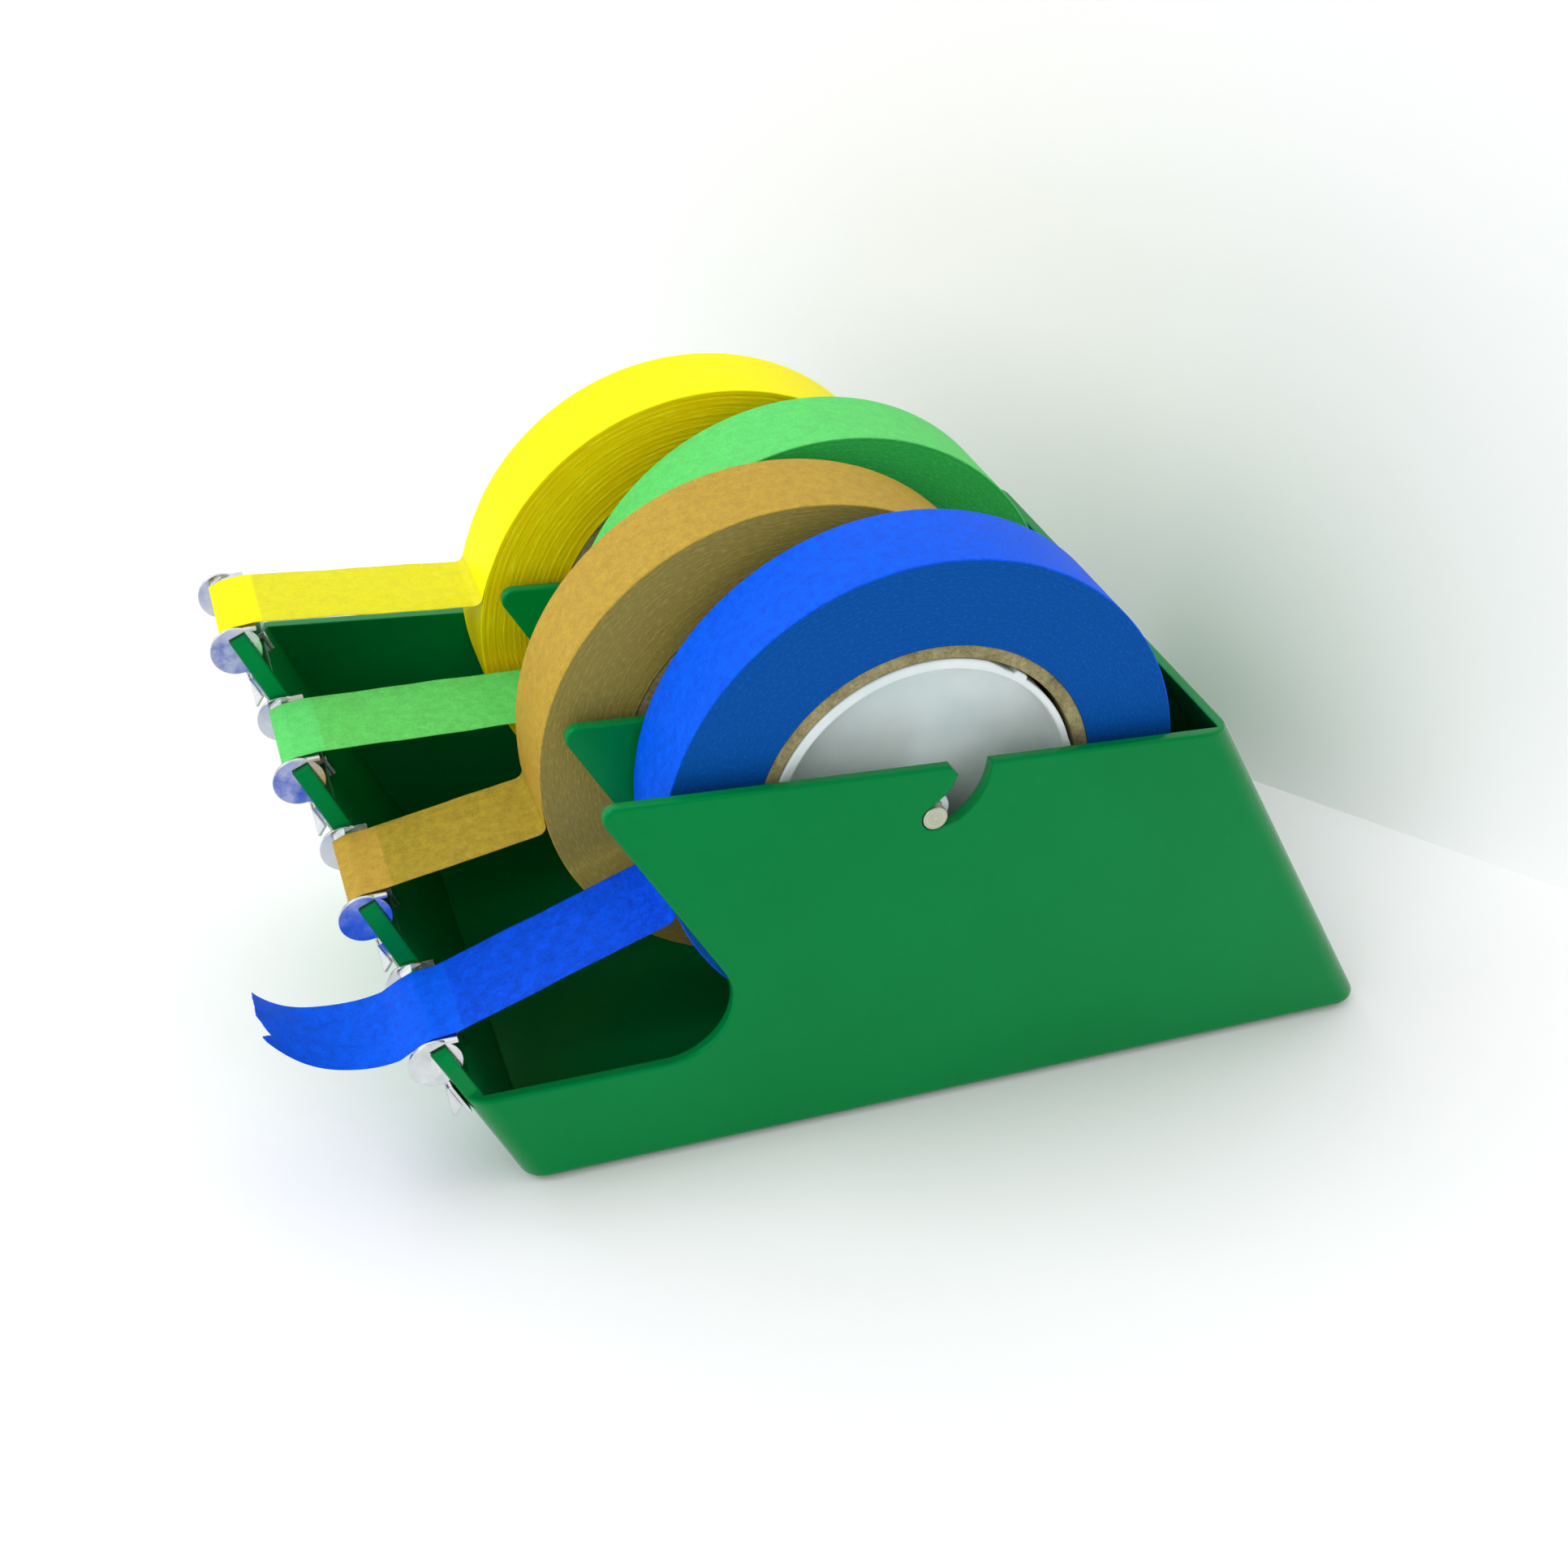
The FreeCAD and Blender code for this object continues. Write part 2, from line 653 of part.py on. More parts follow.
def wound_tape(index):
    outer = COLOURS[index] + "_radius"
    return tube("wound_tape_" + COLOURS[index], index, "core_bore + core_wall", outer, "tape_width")


# ---------------------------------------------------------------- loose ends of tape
def tape_strip(index):
    """The tape that runs from its roll forward, over the saddle and up to the blade's edge.

    It leaves the roll at an angle, as sticky tape does.  The blue one runs on past its blade.
    """
    colour = COLOURS[index]
    body = new_body("tape_strip_" + colour)
    axis_x, axis_z = axle_place(index)
    head_x, head_z = head_place(index)
    lean = "atan( front_lean )"

    def on_roll(lift, before):
        reach = "( %s_radius + roll_gap + %s )" % (colour, lift)
        angle = "( ( %s_peel - %s ) * 1 deg )" % (colour, before)
        return "%s + %s * cos%s" % (axis_x, reach, angle), "%s + %s * sin%s" % (axis_z, reach, angle)

    def over_head(x, z):
        """A point of the leaning frame of the cutter, lifted clear of it."""
        return ("%s + ( %s ) * cos( %s ) - ( %s ) * sin( %s )" % (head_x, x, lean, z, lean),
                "%s + ( %s ) * sin( %s ) + ( %s ) * cos( %s ) + sheet_gap" % (head_z, x, lean, z, lean))

    def raised(point):
        return point[0], point[1] + " + strip_thick"

    edge = over_head("- 2 * sheet_gap - plate - blade", "saddle_top")
    crest = over_head("saddle_crest", "saddle_top")
    rear = over_head("saddle_rear", "saddle_top - saddle_fall")
    points = [on_roll("0", "5"), on_roll("0", "0"), rear, crest, edge]
    back = [raised(edge), raised(crest), raised(rear), on_roll("strip_thick", "0.4"), on_roll("strip_thick", "5")]
    arcs = {}
    if index == 0:
        centre = ("%s - tail_ahead" % head_x, "%s + tail_above + tail_radius" % head_z)

        def on_tail(radius, angle):
            return ("%s + %s * sin( %s * 1 deg )" % (centre[0], radius, angle),
                    "%s - %s * cos( %s * 1 deg )" % (centre[1], radius, angle))

        points += [on_tail("tail_radius", "tail_start"), on_tail("tail_radius", "( - tail_end )")]
        inner = "( tail_radius - strip_thick )"
        back = [on_tail(inner, "( - tail_end )"), on_tail(inner, "tail_start")] + back
        arcs = {5: (centre, "tail_radius", -1), 7: (centre, inner, 1)}
    profile = new_sketch(body, "XZ_Plane", "profile", "- ( %s )" % roll_middle(index))
    outline(profile, points + back, arcs)
    pad(body, profile, "tape_width", middle=True)
    if index == 0:
        tip = "%s - tail_ahead - tail_radius * sin( tail_end * 1 deg )" % head_x
        tear = new_sketch(body, "XY_Plane", "tear")
        outline(tear, [
            ("%s - 1" % tip, "%s + 3" % roll_middle(index)),
            ("%s - 1" % tip, "%s - tape_width / 2 + 3" % roll_middle(index)),
            ("%s + 4" % tip, "%s - 5" % roll_middle(index)),
        ])
        pocket(body, tear, "300", middle=True)
    return body


# ---------------------------------------------------------------- build, check, write
pieces = [body_shell(), rubber_feet()]
for maker in (cutter_bracket, cutter_blade, axle, hub, core, wound_tape, tape_strip):
    for index in range(4):
        pieces.append(maker(index))
doc.recompute()

for thing in doc.Objects:
    if "Invalid" in thing.State or "Error" in thing.State:
        raise RuntimeError("%s is %s" % (thing.Name, thing.State))
os.makedirs("parts", exist_ok=True)
for piece in pieces:
    shape = piece.Shape
    if shape.isNull() or not shape.isValid() or not shape.Solids:
        raise RuntimeError(piece.Label + " has no sound shape")
    shape.exportStep("parts/%s.step" % piece.Label)
    print("%-24s %9.1f mm3" % (piece.Label, shape.Volume))
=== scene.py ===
import json
import math

import bpy
import numpy as np
from mathutils import Matrix, Vector


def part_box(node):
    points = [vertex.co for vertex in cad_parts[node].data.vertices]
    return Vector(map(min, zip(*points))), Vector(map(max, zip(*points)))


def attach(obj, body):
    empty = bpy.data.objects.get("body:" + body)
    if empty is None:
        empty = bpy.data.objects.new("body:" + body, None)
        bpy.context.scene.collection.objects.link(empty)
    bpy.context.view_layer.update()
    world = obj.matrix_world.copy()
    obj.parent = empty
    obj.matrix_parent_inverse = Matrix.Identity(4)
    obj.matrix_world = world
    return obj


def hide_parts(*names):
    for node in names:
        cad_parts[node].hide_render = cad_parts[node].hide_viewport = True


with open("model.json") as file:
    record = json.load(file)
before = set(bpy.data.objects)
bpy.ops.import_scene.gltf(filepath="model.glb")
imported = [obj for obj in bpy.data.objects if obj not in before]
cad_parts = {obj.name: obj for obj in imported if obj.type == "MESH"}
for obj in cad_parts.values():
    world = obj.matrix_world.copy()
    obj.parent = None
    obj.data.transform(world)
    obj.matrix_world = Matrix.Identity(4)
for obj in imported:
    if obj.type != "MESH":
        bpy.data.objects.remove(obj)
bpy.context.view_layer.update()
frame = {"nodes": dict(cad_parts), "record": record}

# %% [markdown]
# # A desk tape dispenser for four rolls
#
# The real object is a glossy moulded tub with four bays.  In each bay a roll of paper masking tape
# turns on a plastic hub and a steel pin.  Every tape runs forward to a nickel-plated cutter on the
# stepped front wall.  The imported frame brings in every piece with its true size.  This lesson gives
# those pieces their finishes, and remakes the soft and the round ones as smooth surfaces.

COLOURS = ("blue", "brown", "green", "yellow")
joints = {joint["name"]: joint for joint in frame["record"]["behaviour"]["joints"]}

# %% [markdown]
# ## Reading places from the frame
#
# A piece must sit exactly where the model has it.  The places could be typed in again, but then two
# files would have to agree.  Reading them from the joints and the nodes' boxes keeps one truth.

# %% Where the axles and the cutters are
EAR_RADIUS = 0.0063
axle_at = {}
roll_radius = {}
ears_at = {}
for colour in COLOURS:
    axle_at[colour] = np.array(joints[colour + "_roll_turn"]["pos_m"])
    low, high = (np.array(corner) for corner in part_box("wound_tape_" + colour))
    roll_radius[colour] = (high[2] - low[2]) / 2
    low, high = (np.array(corner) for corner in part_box("cutter_bracket_" + colour))
    ears_at[colour] = np.array([low[0] + EAR_RADIUS, (low[1] + high[1]) / 2, high[2] - EAR_RADIUS])
    print(colour, "axle", axle_at[colour].round(4), "radius", round(roll_radius[colour], 4),
          "ears", ears_at[colour].round(4))

# %% [markdown]
# ## The camera
#
# The dispenser is seen from its near side, a little from the front and from about 34 degrees above.
# A camera can be aimed with a constraint or with three directions.  Three directions written as the
# columns of a matrix say exactly how it is held, with nothing left to solve.

# %% Camera
camera_data = bpy.data.cameras.new("camera")
camera_data.sensor_width = 36.0
camera_data.lens = 47.504
camera_data.clip_end = 20.0
camera = bpy.data.objects.new("camera", camera_data)
bpy.context.scene.collection.objects.link(camera)
ahead = Vector((0.28006, 0.77892, -0.56111)).normalized()
right = Vector((0.94650, -0.32168, 0.02587)).normalized()
up = right.cross(ahead)
camera.matrix_world = Matrix.Translation((-0.15073, -0.42001, 0.35729)) @ Matrix(
    (right, up, -ahead)).transposed().to_4x4()
bpy.context.scene.camera = camera
print("camera", [round(v, 3) for v in camera.matrix_world.translation])

# %% [markdown]
# ## Surfaces from grids of points
#
# The pieces remade here are surfaces of two parameters: turned rings and ribbons carried along a path.
# Primitives with modifiers would also do, but a grid worked out as one array gives even faces and
# full control of every rounding.

# %% A mesh from a grid of points
def grid_piece(name, points, close_u=False, close_v=False):
    """Make a mesh of quads from an array of shape (rows, columns, 3).

    Point (i, j) is joined to its neighbours (i + 1, j) and (i, j + 1); a closed direction also joins
    its last row or column back to its first.
    """
    rows, columns = points.shape[:2]
    i = np.arange(rows if close_u else rows - 1)
    j = np.arange(columns if close_v else columns - 1)
    i, j = np.meshgrid(i, j, indexing="ij")
    after_i, after_j = (i + 1) % rows, (j + 1) % columns
    faces = np.stack([i * columns + j, after_i * columns + j,
                      after_i * columns + after_j, i * columns + after_j], axis=-1).reshape(-1, 4)
    mesh = bpy.data.meshes.new(name)
    mesh.from_pydata(points.reshape(-1, 3).tolist(), [], faces.tolist())
    mesh.shade_smooth()
    piece = bpy.data.objects.new(name, mesh)
    bpy.context.scene.collection.objects.link(piece)
    return piece


# %% Outlines with rounded corners
def rounded(corners, radii, steps=6, closed=True):
    """Round each corner of an outline with an arc that touches both of its sides.

    The arc's centre lies on the corner's bisector, radius / sin(half the corner's angle) away, and it
    touches the sides radius / tan(half the angle) from the corner.  An open outline keeps its ends.
    """
    corners = np.asarray(corners, float)
    radii = np.broadcast_to(np.asarray(radii, float), len(corners)).reshape(-1, 1)
    before = np.roll(corners, 1, axis=0) - corners
    after = np.roll(corners, -1, axis=0) - corners
    before /= np.linalg.norm(before, axis=1, keepdims=True)
    after /= np.linalg.norm(after, axis=1, keepdims=True)
    half = np.arccos(np.clip((before * after).sum(1, keepdims=True), -1, 1)) / 2
    reach = radii / np.tan(half)
    bisector = before + after
    bisector /= np.maximum(np.linalg.norm(bisector, axis=1, keepdims=True), 1e-9)
    centre = corners + bisector * radii / np.sin(half)
    start, end = corners + before * reach - centre, corners + after * reach - centre
    first = np.arctan2(start[:, 1], start[:, 0])
    turn = (np.arctan2(end[:, 1], end[:, 0]) - first + np.pi) % (2 * np.pi) - np.pi
    angle = first[:, None] + turn[:, None] * np.linspace(0, 1, steps)
    arcs = centre[:, None] + radii[:, :, None] * np.stack([np.cos(angle), np.sin(angle)], axis=-1)
    if not closed:
        arcs[0], arcs[-1] = corners[0], corners[-1]
    return arcs.reshape(-1, 2)


# %% Turned pieces
def turned(name, outline, centre, segments=384, swell=None):
    """Turn a closed outline of (radius, y) about the line through centre along Y.

    Point (k, a) is centre + (r_k cos a, y_k, r_k sin a); swell(radius, y, angle) may change the radius.
    """
    angle = np.linspace(0, 2 * np.pi, segments, endpoint=False)[:, None]
    radius, y = outline[None, :, 0], outline[None, :, 1]
    if swell is not None:
        radius = swell(radius, y, angle)
    radius, y, angle = np.broadcast_arrays(radius, y, angle)
    points = np.stack([radius * np.cos(angle), y, radius * np.sin(angle)], axis=-1)
    return grid_piece(name, points + np.asarray(centre), True, True)


# %% Which way faces look
def face_outwards(piece):
    """Turn a closed mesh the right way: its signed volume, a sum over its triangles, is positive."""
    mesh = piece.data
    mesh.calc_loop_triangles()
    corners = np.empty(len(mesh.vertices) * 3)
    mesh.vertices.foreach_get("co", corners)
    index = np.empty(len(mesh.loop_triangles) * 3, int)
    mesh.loop_triangles.foreach_get("vertices", index)
    a, b, c = corners.reshape(-1, 3)[index.reshape(-1, 3)].transpose(1, 0, 2)
    if np.einsum("ij,ij->i", a, np.cross(b, c)).sum() < 0:
        mesh.flip_normals()
    return piece


# %% [markdown]
# ## Building materials from nodes
#
# A finish on the real thing is never one flat colour.  Node trees can be clicked together by hand;
# in a script a one-line helper that makes a node and joins its inputs keeps them readable.

# %% Node helpers
def node(tree, kind, inputs=None, **settings):
    """Make one node, set its options, and set or join each named input."""
    made = tree.nodes.new(kind)
    for option, choice in settings.items():
        setattr(made, option, choice)
    for key, source in (inputs or {}).items():
        if isinstance(source, bpy.types.NodeSocket):
            tree.links.new(source, made.inputs[key])
        else:
            made.inputs[key].default_value = source
    return made


def new_material(name):
    """A new material, its tree, its shader, and the object's own coordinates in metres."""
    material = bpy.data.materials.new(name)
    material.use_nodes = True
    tree = material.node_tree
    shader = tree.nodes["Principled BSDF"]
    place = node(tree, "ShaderNodeTexCoord").outputs["Object"]
    return material, tree, shader, place


def noise(tree, place, scale, detail=3.0, roughness=0.55):
    """Smooth random clouds of about 1 / scale metres across, from 0 to 1."""
    return node(tree, "ShaderNodeTexNoise", {
        "Vector": place, "Scale": scale, "Detail": detail, "Roughness": roughness}).outputs["Fac"]


def average(tree, first, second, share=0.5):
    """The mean of two values; share is the part that the second one has in it."""
    return node(tree, "ShaderNodeMix", {"Factor": share, "A": first, "B": second}).outputs["Result"]


def reckon(tree, operation, first, second):
    """A sum, product or angle of two values."""
    return node(tree, "ShaderNodeMath", {0: first, 1: second}, operation=operation).outputs[0]


def blend_colours(tree, amount, first, second):
    """A colour between first at 0 and second at 1."""
    mix = node(tree, "ShaderNodeMix", data_type="RGBA")
    tree.links.new(amount, mix.inputs["Factor"])
    for key, source in ((6, first), (7, second)):
        if isinstance(source, bpy.types.NodeSocket):
            tree.links.new(source, mix.inputs[key])
        else:
            mix.inputs[key].default_value = (*source, 1.0)
    return mix.outputs[2]


def spread(tree, value, low, high, to_low=0.0, to_high=1.0):
    """Stretch a value from low..high to to_low..to_high, held at the ends."""
    return node(tree, "ShaderNodeMapRange", {
        "Value": value, "From Min": low, "From Max": high, "To Min": to_low, "To Max": to_high,
    }).outputs["Result"]


def relief(tree, shader, height, depth, strength=1.0, rounding=None):
    """Give the shader a bumped normal; rounding also softens sharp edges over that radius."""
    inputs = {"Height": height, "Distance": depth, "Strength": strength}
    if rounding:
        inputs["Normal"] = node(tree, "ShaderNodeBevel", {"Radius": rounding}, samples=6).outputs["Normal"]
    bump = node(tree, "ShaderNodeBump", inputs)
    tree.links.new(bump.outputs["Normal"], shader.inputs["Normal"])


def scaled(colour, factor):
    """A lighter or darker colour, with no channel over 1."""
    return tuple(min(channel * factor, 1.0) for channel in colour)


# %% [markdown]
# ## Glossy green plastic
#
# The tub is injection-moulded ABS with a polished skin.  Its gloss is broken only by a very faint
# orange-peel waviness, and the pigment drifts a little.  A plain shader with low roughness would look
# like paint on glass, so two noises, one for the relief and one for the colour, are added.

# %% Tub plastic
def moulded_green():
    material, tree, shader, place = new_material("moulded_green")
    drift = spread(tree, noise(tree, place, 14.0, 2.0), 0.3, 0.7)
    colour = blend_colours(tree, drift, (0.0, 0.190, 0.038), (0.0, 0.215, 0.046))
    tree.links.new(colour, shader.inputs["Base Color"])
    handling = noise(tree, place, 55.0, 5.0, 0.7)
    tree.links.new(spread(tree, handling, 0.35, 0.75, 0.17, 0.27), shader.inputs["Roughness"])
    shader.inputs["Specular IOR Level"].default_value = 0.35
    shader.inputs["Specular Tint"].default_value = (0.05, 0.9, 0.35, 1.0)
    relief(tree, shader, noise(tree, place, 420.0, 2.0), 0.00008, 0.35, 0.0009)
    return material


# %% [markdown]
# ## Paper tape
#
# Masking tape is thin crepe or kraft paper.  Its face shows cloudy fibres a few millimetres across
# and a fine tooth that scatters light.  Where it hangs free it is painted darker than where it is stuck
# down: painted shade.
# The wound side shows the edges of all the layers.  An image of paper would repeat; noises of two sizes
# do not.

# %% Colours of stuck tape, of free tape darkened with painted shade, and of wound sides, and how cloudy each paper is
FACE = {
    "blue": (0.001, 0.086, 0.76),
    "brown": (0.46, 0.28, 0.042),
    "green": (0.115, 0.60, 0.145),
    "yellow": (0.96, 0.84, 0.001),
}
# Free-span colours: darker than the faces, painted shade.
SHADED_SPAN = {
    "blue": (0.001, 0.070, 0.66),
    "brown": (0.36, 0.26, 0.026),
    "green": (0.115, 0.56, 0.11),
    "yellow": (0.73, 0.69, 0.015),
}
SIDE = {
    "blue": (0.001, 0.080, 0.37),
    "brown": (0.34, 0.27, 0.06),
    "green": (0.035, 0.47, 0.085),
    "yellow": (1.0, 0.66, 0.001),
}
MOTTLE = {"blue": 0.26, "brown": 0.18, "green": 0.12, "yellow": 0.02}
PAPER_SHINE = 0.06


# %% Tape faces
def paper_tape(colour, loose=False):
    """The face of a tape: cloudy fibres, a fine tooth, and for loose tape a free span painted darker, as
    painted shade.
    """
    material, tree, shader, place = new_material(colour + ("_loose_tape" if loose else "_tape_face"))
    clouds = spread(tree, noise(tree, place, 400.0, 6.0, 0.7), 0.34, 0.66)
    fibres = spread(tree, noise(tree, place, 1700.0, 3.0, 0.75), 0.3, 0.7)
    amount = spread(tree, average(tree, clouds, fibres), 0.15, 0.85)
    depth = MOTTLE[colour]
    pale = tuple(channel * (1 + depth * gain) for channel, gain in zip(FACE[colour], (1.0, 1.7, 1.0)))
    paper = blend_colours(tree, amount, scaled(FACE[colour], 1 - 0.7 * depth), pale)
    # Loose tape: the free span is painted darker as painted shade; the stuck parts keep the face colour.
    if loose:
        span_shade = blend_colours(
            tree, amount, scaled(SHADED_SPAN[colour], 0.94 - depth), scaled(SHADED_SPAN[colour], 1.06 + depth))
        stuck = node(tree, "ShaderNodeAttribute", attribute_name="stuck").outputs["Fac"]
        paper = blend_colours(tree, stuck, span_shade, paper)
    tree.links.new(paper, shader.inputs["Base Color"])
    tree.links.new(spread(tree, clouds, 0.0, 1.0, 0.44, 0.58), shader.inputs["Roughness"])
    shader.inputs["Specular IOR Level"].default_value = PAPER_SHINE
    relief(tree, shader, amount, 0.00010, 0.5)
    return material


# %% Distances from an axle
def about_axle(tree, place, colour):
    """The place seen from the colour's axle, without its y, and its distance from the axle."""
    x, _, z = axle_at[colour]
    centred = node(tree, "ShaderNodeMapping", {
        "Vector": place, "Location": (-x, 0.0, -z), "Scale": (1.0, 0.0, 1.0)}).outputs["Vector"]
    distance = node(tree, "ShaderNodeVectorMath", {0: centred}, operation="LENGTH").outputs["Value"]
    return centred, distance


# %% Wound sides
FLECKS_TO_A_METRE = 1900.0


def wound_side(colour, waviness, contrast, arcs):
    """The side of a roll: rings of layer edges and short pale flecks that follow them.

    Rings are a noise of the distance to the axle alone.  Flecks are a noise of (distance, angle), with
    `arcs` of them to a radian, so they are long along the rings and thin across them.  The angle is
    counted from straight up, so its jump from pi to -pi points down, where the tub hides it.
    """
    material, tree, shader, place = new_material(colour + "_tape_side")
    centred, distance = about_axle(tree, place, colour)
    axes = node(tree, "ShaderNodeSeparateXYZ", {"Vector": centred}).outputs
    angle = reckon(tree, "ARCTAN2", axes["X"], axes["Z"])
    wobble = spread(tree, noise(tree, place, 70.0, 4.0, 0.6), 0.0, 1.0, -waviness, waviness)
    layer = reckon(tree, "ADD", distance, wobble)
    rings = node(tree, "ShaderNodeTexNoise", {
        "W": layer, "Scale": 1500.0, "Detail": 5.0, "Roughness": 0.8}, noise_dimensions="1D").outputs["Fac"]
    polar = node(tree, "ShaderNodeCombineXYZ", {
        "X": reckon(tree, "MULTIPLY", layer, FLECKS_TO_A_METRE),
        "Y": reckon(tree, "MULTIPLY", angle, arcs)}).outputs["Vector"]
    flecks = node(tree, "ShaderNodeTexNoise", {
        "Vector": polar, "Scale": 1.0, "Detail": 3.0, "Roughness": 0.7,
    }, noise_dimensions="2D").outputs["Fac"]
    amount = average(tree, spread(tree, rings, 0.3, 0.7), spread(tree, flecks, 0.35, 0.65))
    body = blend_colours(
        tree, amount, scaled(SIDE[colour], 1 - contrast), scaled(SIDE[colour], 1 + contrast))
    pale = tuple(
        min(1.4 * channel + extra, 1.0) for channel, extra in zip(SIDE[colour], (0.0, 0.03, 0.03)))
    bright = spread(tree, flecks, 0.58, 0.74, 0.0, 0.7)
    tree.links.new(blend_colours(tree, bright, body, pale), shader.inputs["Base Color"])
    shader.inputs["Roughness"].default_value = 0.62
    shader.inputs["Specular IOR Level"].default_value = PAPER_SHINE
    relief(tree, shader, amount, 0.00020, 0.5)
    return material


# %% [markdown]
# ## The wound rolls
#
# Each roll is hundreds of turns of tape.  It could be one plain ring, but real layers never line up:
# the side shows faint steps.  The ring's outline therefore gets many small steps inwards, more of them
# on the coarse yellow tape, before it is turned about its axle.

# %% Sizes of the wound tapes
CORE_INSIDE, CORE_OUTSIDE = 0.0381, 0.0414
TAPE_CORNER = 0.0003
STEPS, POINTS_IN_A_STEP = 30, 3
FACE_POINTS = 12
TAPE_SEGMENTS = 448
ragged_step = {"blue": 0.00003, "brown": 0.00004, "green": 0.00003, "yellow": 0.00012}
# For wound_side: how far the rings wander, how much they differ in tone, and the flecks to a radian.
ring_look = {"blue": (0.0004, 0.14, 45.0), "brown": (0.0005, 0.16, 26.0), "green": (0.0004, 0.12, 40.0),
             "yellow": (0.0010, 0.12, 7.0)}


# %% Outlines of the wound tapes
def tape_outline(colour):
    """The near side, the face and the far side of a wound tape as three outlines of (radius, y).

    It is a rectangle with rounded corners whose two sides step inwards by up to the ragged step.
    """
    low, high = (corner[1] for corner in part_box("wound_tape_" + colour))
    outer, corner, step = roll_radius[colour], TAPE_CORNER, ragged_step[colour]
    layers = np.linspace(CORE_OUTSIDE, outer - 2 * corner, STEPS * POINTS_IN_A_STEP)
    chance = np.random.default_rng(sum(map(ord, colour)))
    ragged = np.repeat(chance.random(STEPS), POINTS_IN_A_STEP) * step * (layers > CORE_OUTSIDE + 0.0005)
    near_side = np.stack([layers, low + ragged], axis=1)
    ragged = np.repeat(chance.random(STEPS), POINTS_IN_A_STEP) * step
    far_side = np.stack([layers[::-1], high - ragged], axis=1)
    arc = np.linspace(0, np.pi / 2, 5)
    rise, fall = corner * np.sin(arc), corner * np.cos(arc)
    near_corner = np.stack([outer - corner + rise, low + corner - fall], axis=1)
    far_corner = np.stack([outer - corner + fall, high - corner + rise], axis=1)
    across = np.linspace(low + 2 * corner, high - 2 * corner, FACE_POINTS)
    face = np.stack([np.full(FACE_POINTS, outer), across], axis=1)
    return near_side, np.concatenate([near_corner, face, far_corner]), far_side


# %% Wound tapes
def uneven(radius, y, angle):
    """The outer turns are not quite round: two slow waves, together a tenth of a millimetre deep."""
    wave = 0.5 - 0.3 * np.sin(3 * angle + y * 90) - 0.2 * np.sin(7 * angle + 1.0)
    return radius - 0.0001 * wave * (radius > CORE_OUTSIDE + 0.005)


def wound_tape(colour):
    """Turn a tape's outline about its axle, with one material on its face and one on its sides."""
    near_side, face, far_side = tape_outline(colour)
    outline = np.concatenate([near_side, face, far_side])
    x, _, z = axle_at[colour]
    piece = face_outwards(turned(colour + "_wound_tape", outline, (x, 0, z), TAPE_SEGMENTS, uneven))
    piece.data.materials.append(paper_tape(colour))
    piece.data.materials.append(wound_side(colour, *ring_look[colour]))
    on_side = np.repeat([1, 0, 1], [len(near_side), len(face), len(far_side)])
    piece.data.polygons.foreach_set("material_index", np.tile(on_side, TAPE_SEGMENTS).astype(np.int32))
    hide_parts("wound_tape_" + colour)
    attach(piece, colour + "_roll")
    return piece


for colour in COLOURS:
    made = wound_tape(colour)
    print(made.name, len(made.data.polygons), "faces")

# %% [markdown]
# ## Cores and hubs
#
# The core is grey-brown board wound in a spiral and cut with a blade, so its ends are fibrous.  The hub
# is a white moulded reel.  Its rim has a sunken stretch with a small springy catch that grips the core,
# which leaves a dark crescent between the two.  A turned outline whose radius also depends on the angle
# gives both in one surface.

# %% Board and white plastic
def core_board():
    material, tree, shader, place = new_material("core_board")
    fibres = noise(tree, place, 900.0, 6.0, 0.75)
    clouds = noise(tree, place, 160.0, 3.0)
    amount = average(tree, fibres, clouds, 0.4)
    colour = blend_colours(tree, spread(tree, amount, 0.35, 0.65), (0.13, 0.105, 0.035), (0.44, 0.39, 0.19))
    tree.links.new(colour, shader.inputs["Base Color"])
    shader.inputs["Roughness"].default_value = 0.85
    relief(tree, shader, fibres, 0.0003, 0.8)
    return material


def hub_plastic():
    material, tree, shader, place = new_material("hub_plastic")
    drift = spread(tree, noise(tree, place, 45.0, 3.0), 0.3, 0.7)
    colour = blend_colours(tree, drift, (0.68, 0.78, 0.78), (0.84, 0.89, 0.885))
    tree.links.new(colour, shader.inputs["Base Color"])
    smudges = noise(tree, place, 90.0, 4.0)
    tree.links.new(spread(tree, smudges, 0.3, 0.7, 0.16, 0.26), shader.inputs["Roughness"])
    relief(tree, shader, noise(tree, place, 60.0, 2.0), 0.0002, 0.25)
    return material


# %% Cores
board, reel = core_board(), hub_plastic()
for colour in COLOURS:
    low, high = (np.array(corner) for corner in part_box("core_" + colour))
    corners = [(CORE_INSIDE, low[1]), (CORE_OUTSIDE, low[1]),
               (CORE_OUTSIDE, high[1]), (CORE_INSIDE, high[1])]
    x, _, z = axle_at[colour]
    core = face_outwards(turned(colour + "_core", rounded(corners, 0.00035), (x, 0, z)))
    core.data.materials.append(board)
    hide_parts("core_" + colour)
    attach(core, colour + "_roll")


# %% Rims of the hubs
BORE, BOSS = 0.00308, 0.0048
RIM_INSIDE, RIM_OUTSIDE = 0.0352, 0.0378
RIM_PAST_CORE = 0.0002


def hub_swell(radius, y, angle):
    """Sink the rim's outside by 0.8 mm between 6 and 70 degrees, but leave a lug at 55 degrees."""
    degrees = np.degrees(angle)
    sunken = np.clip((degrees - 6) / 12, 0, 1) * np.clip((70 - degrees) / 8, 0, 1)
    lug = np.clip((3.0 - np.abs(degrees - 55)) / 0.6, 0, 1)
    return radius - 0.0008 * sunken * (1 - lug) * (radius > (RIM_INSIDE + RIM_OUTSIDE) / 2)


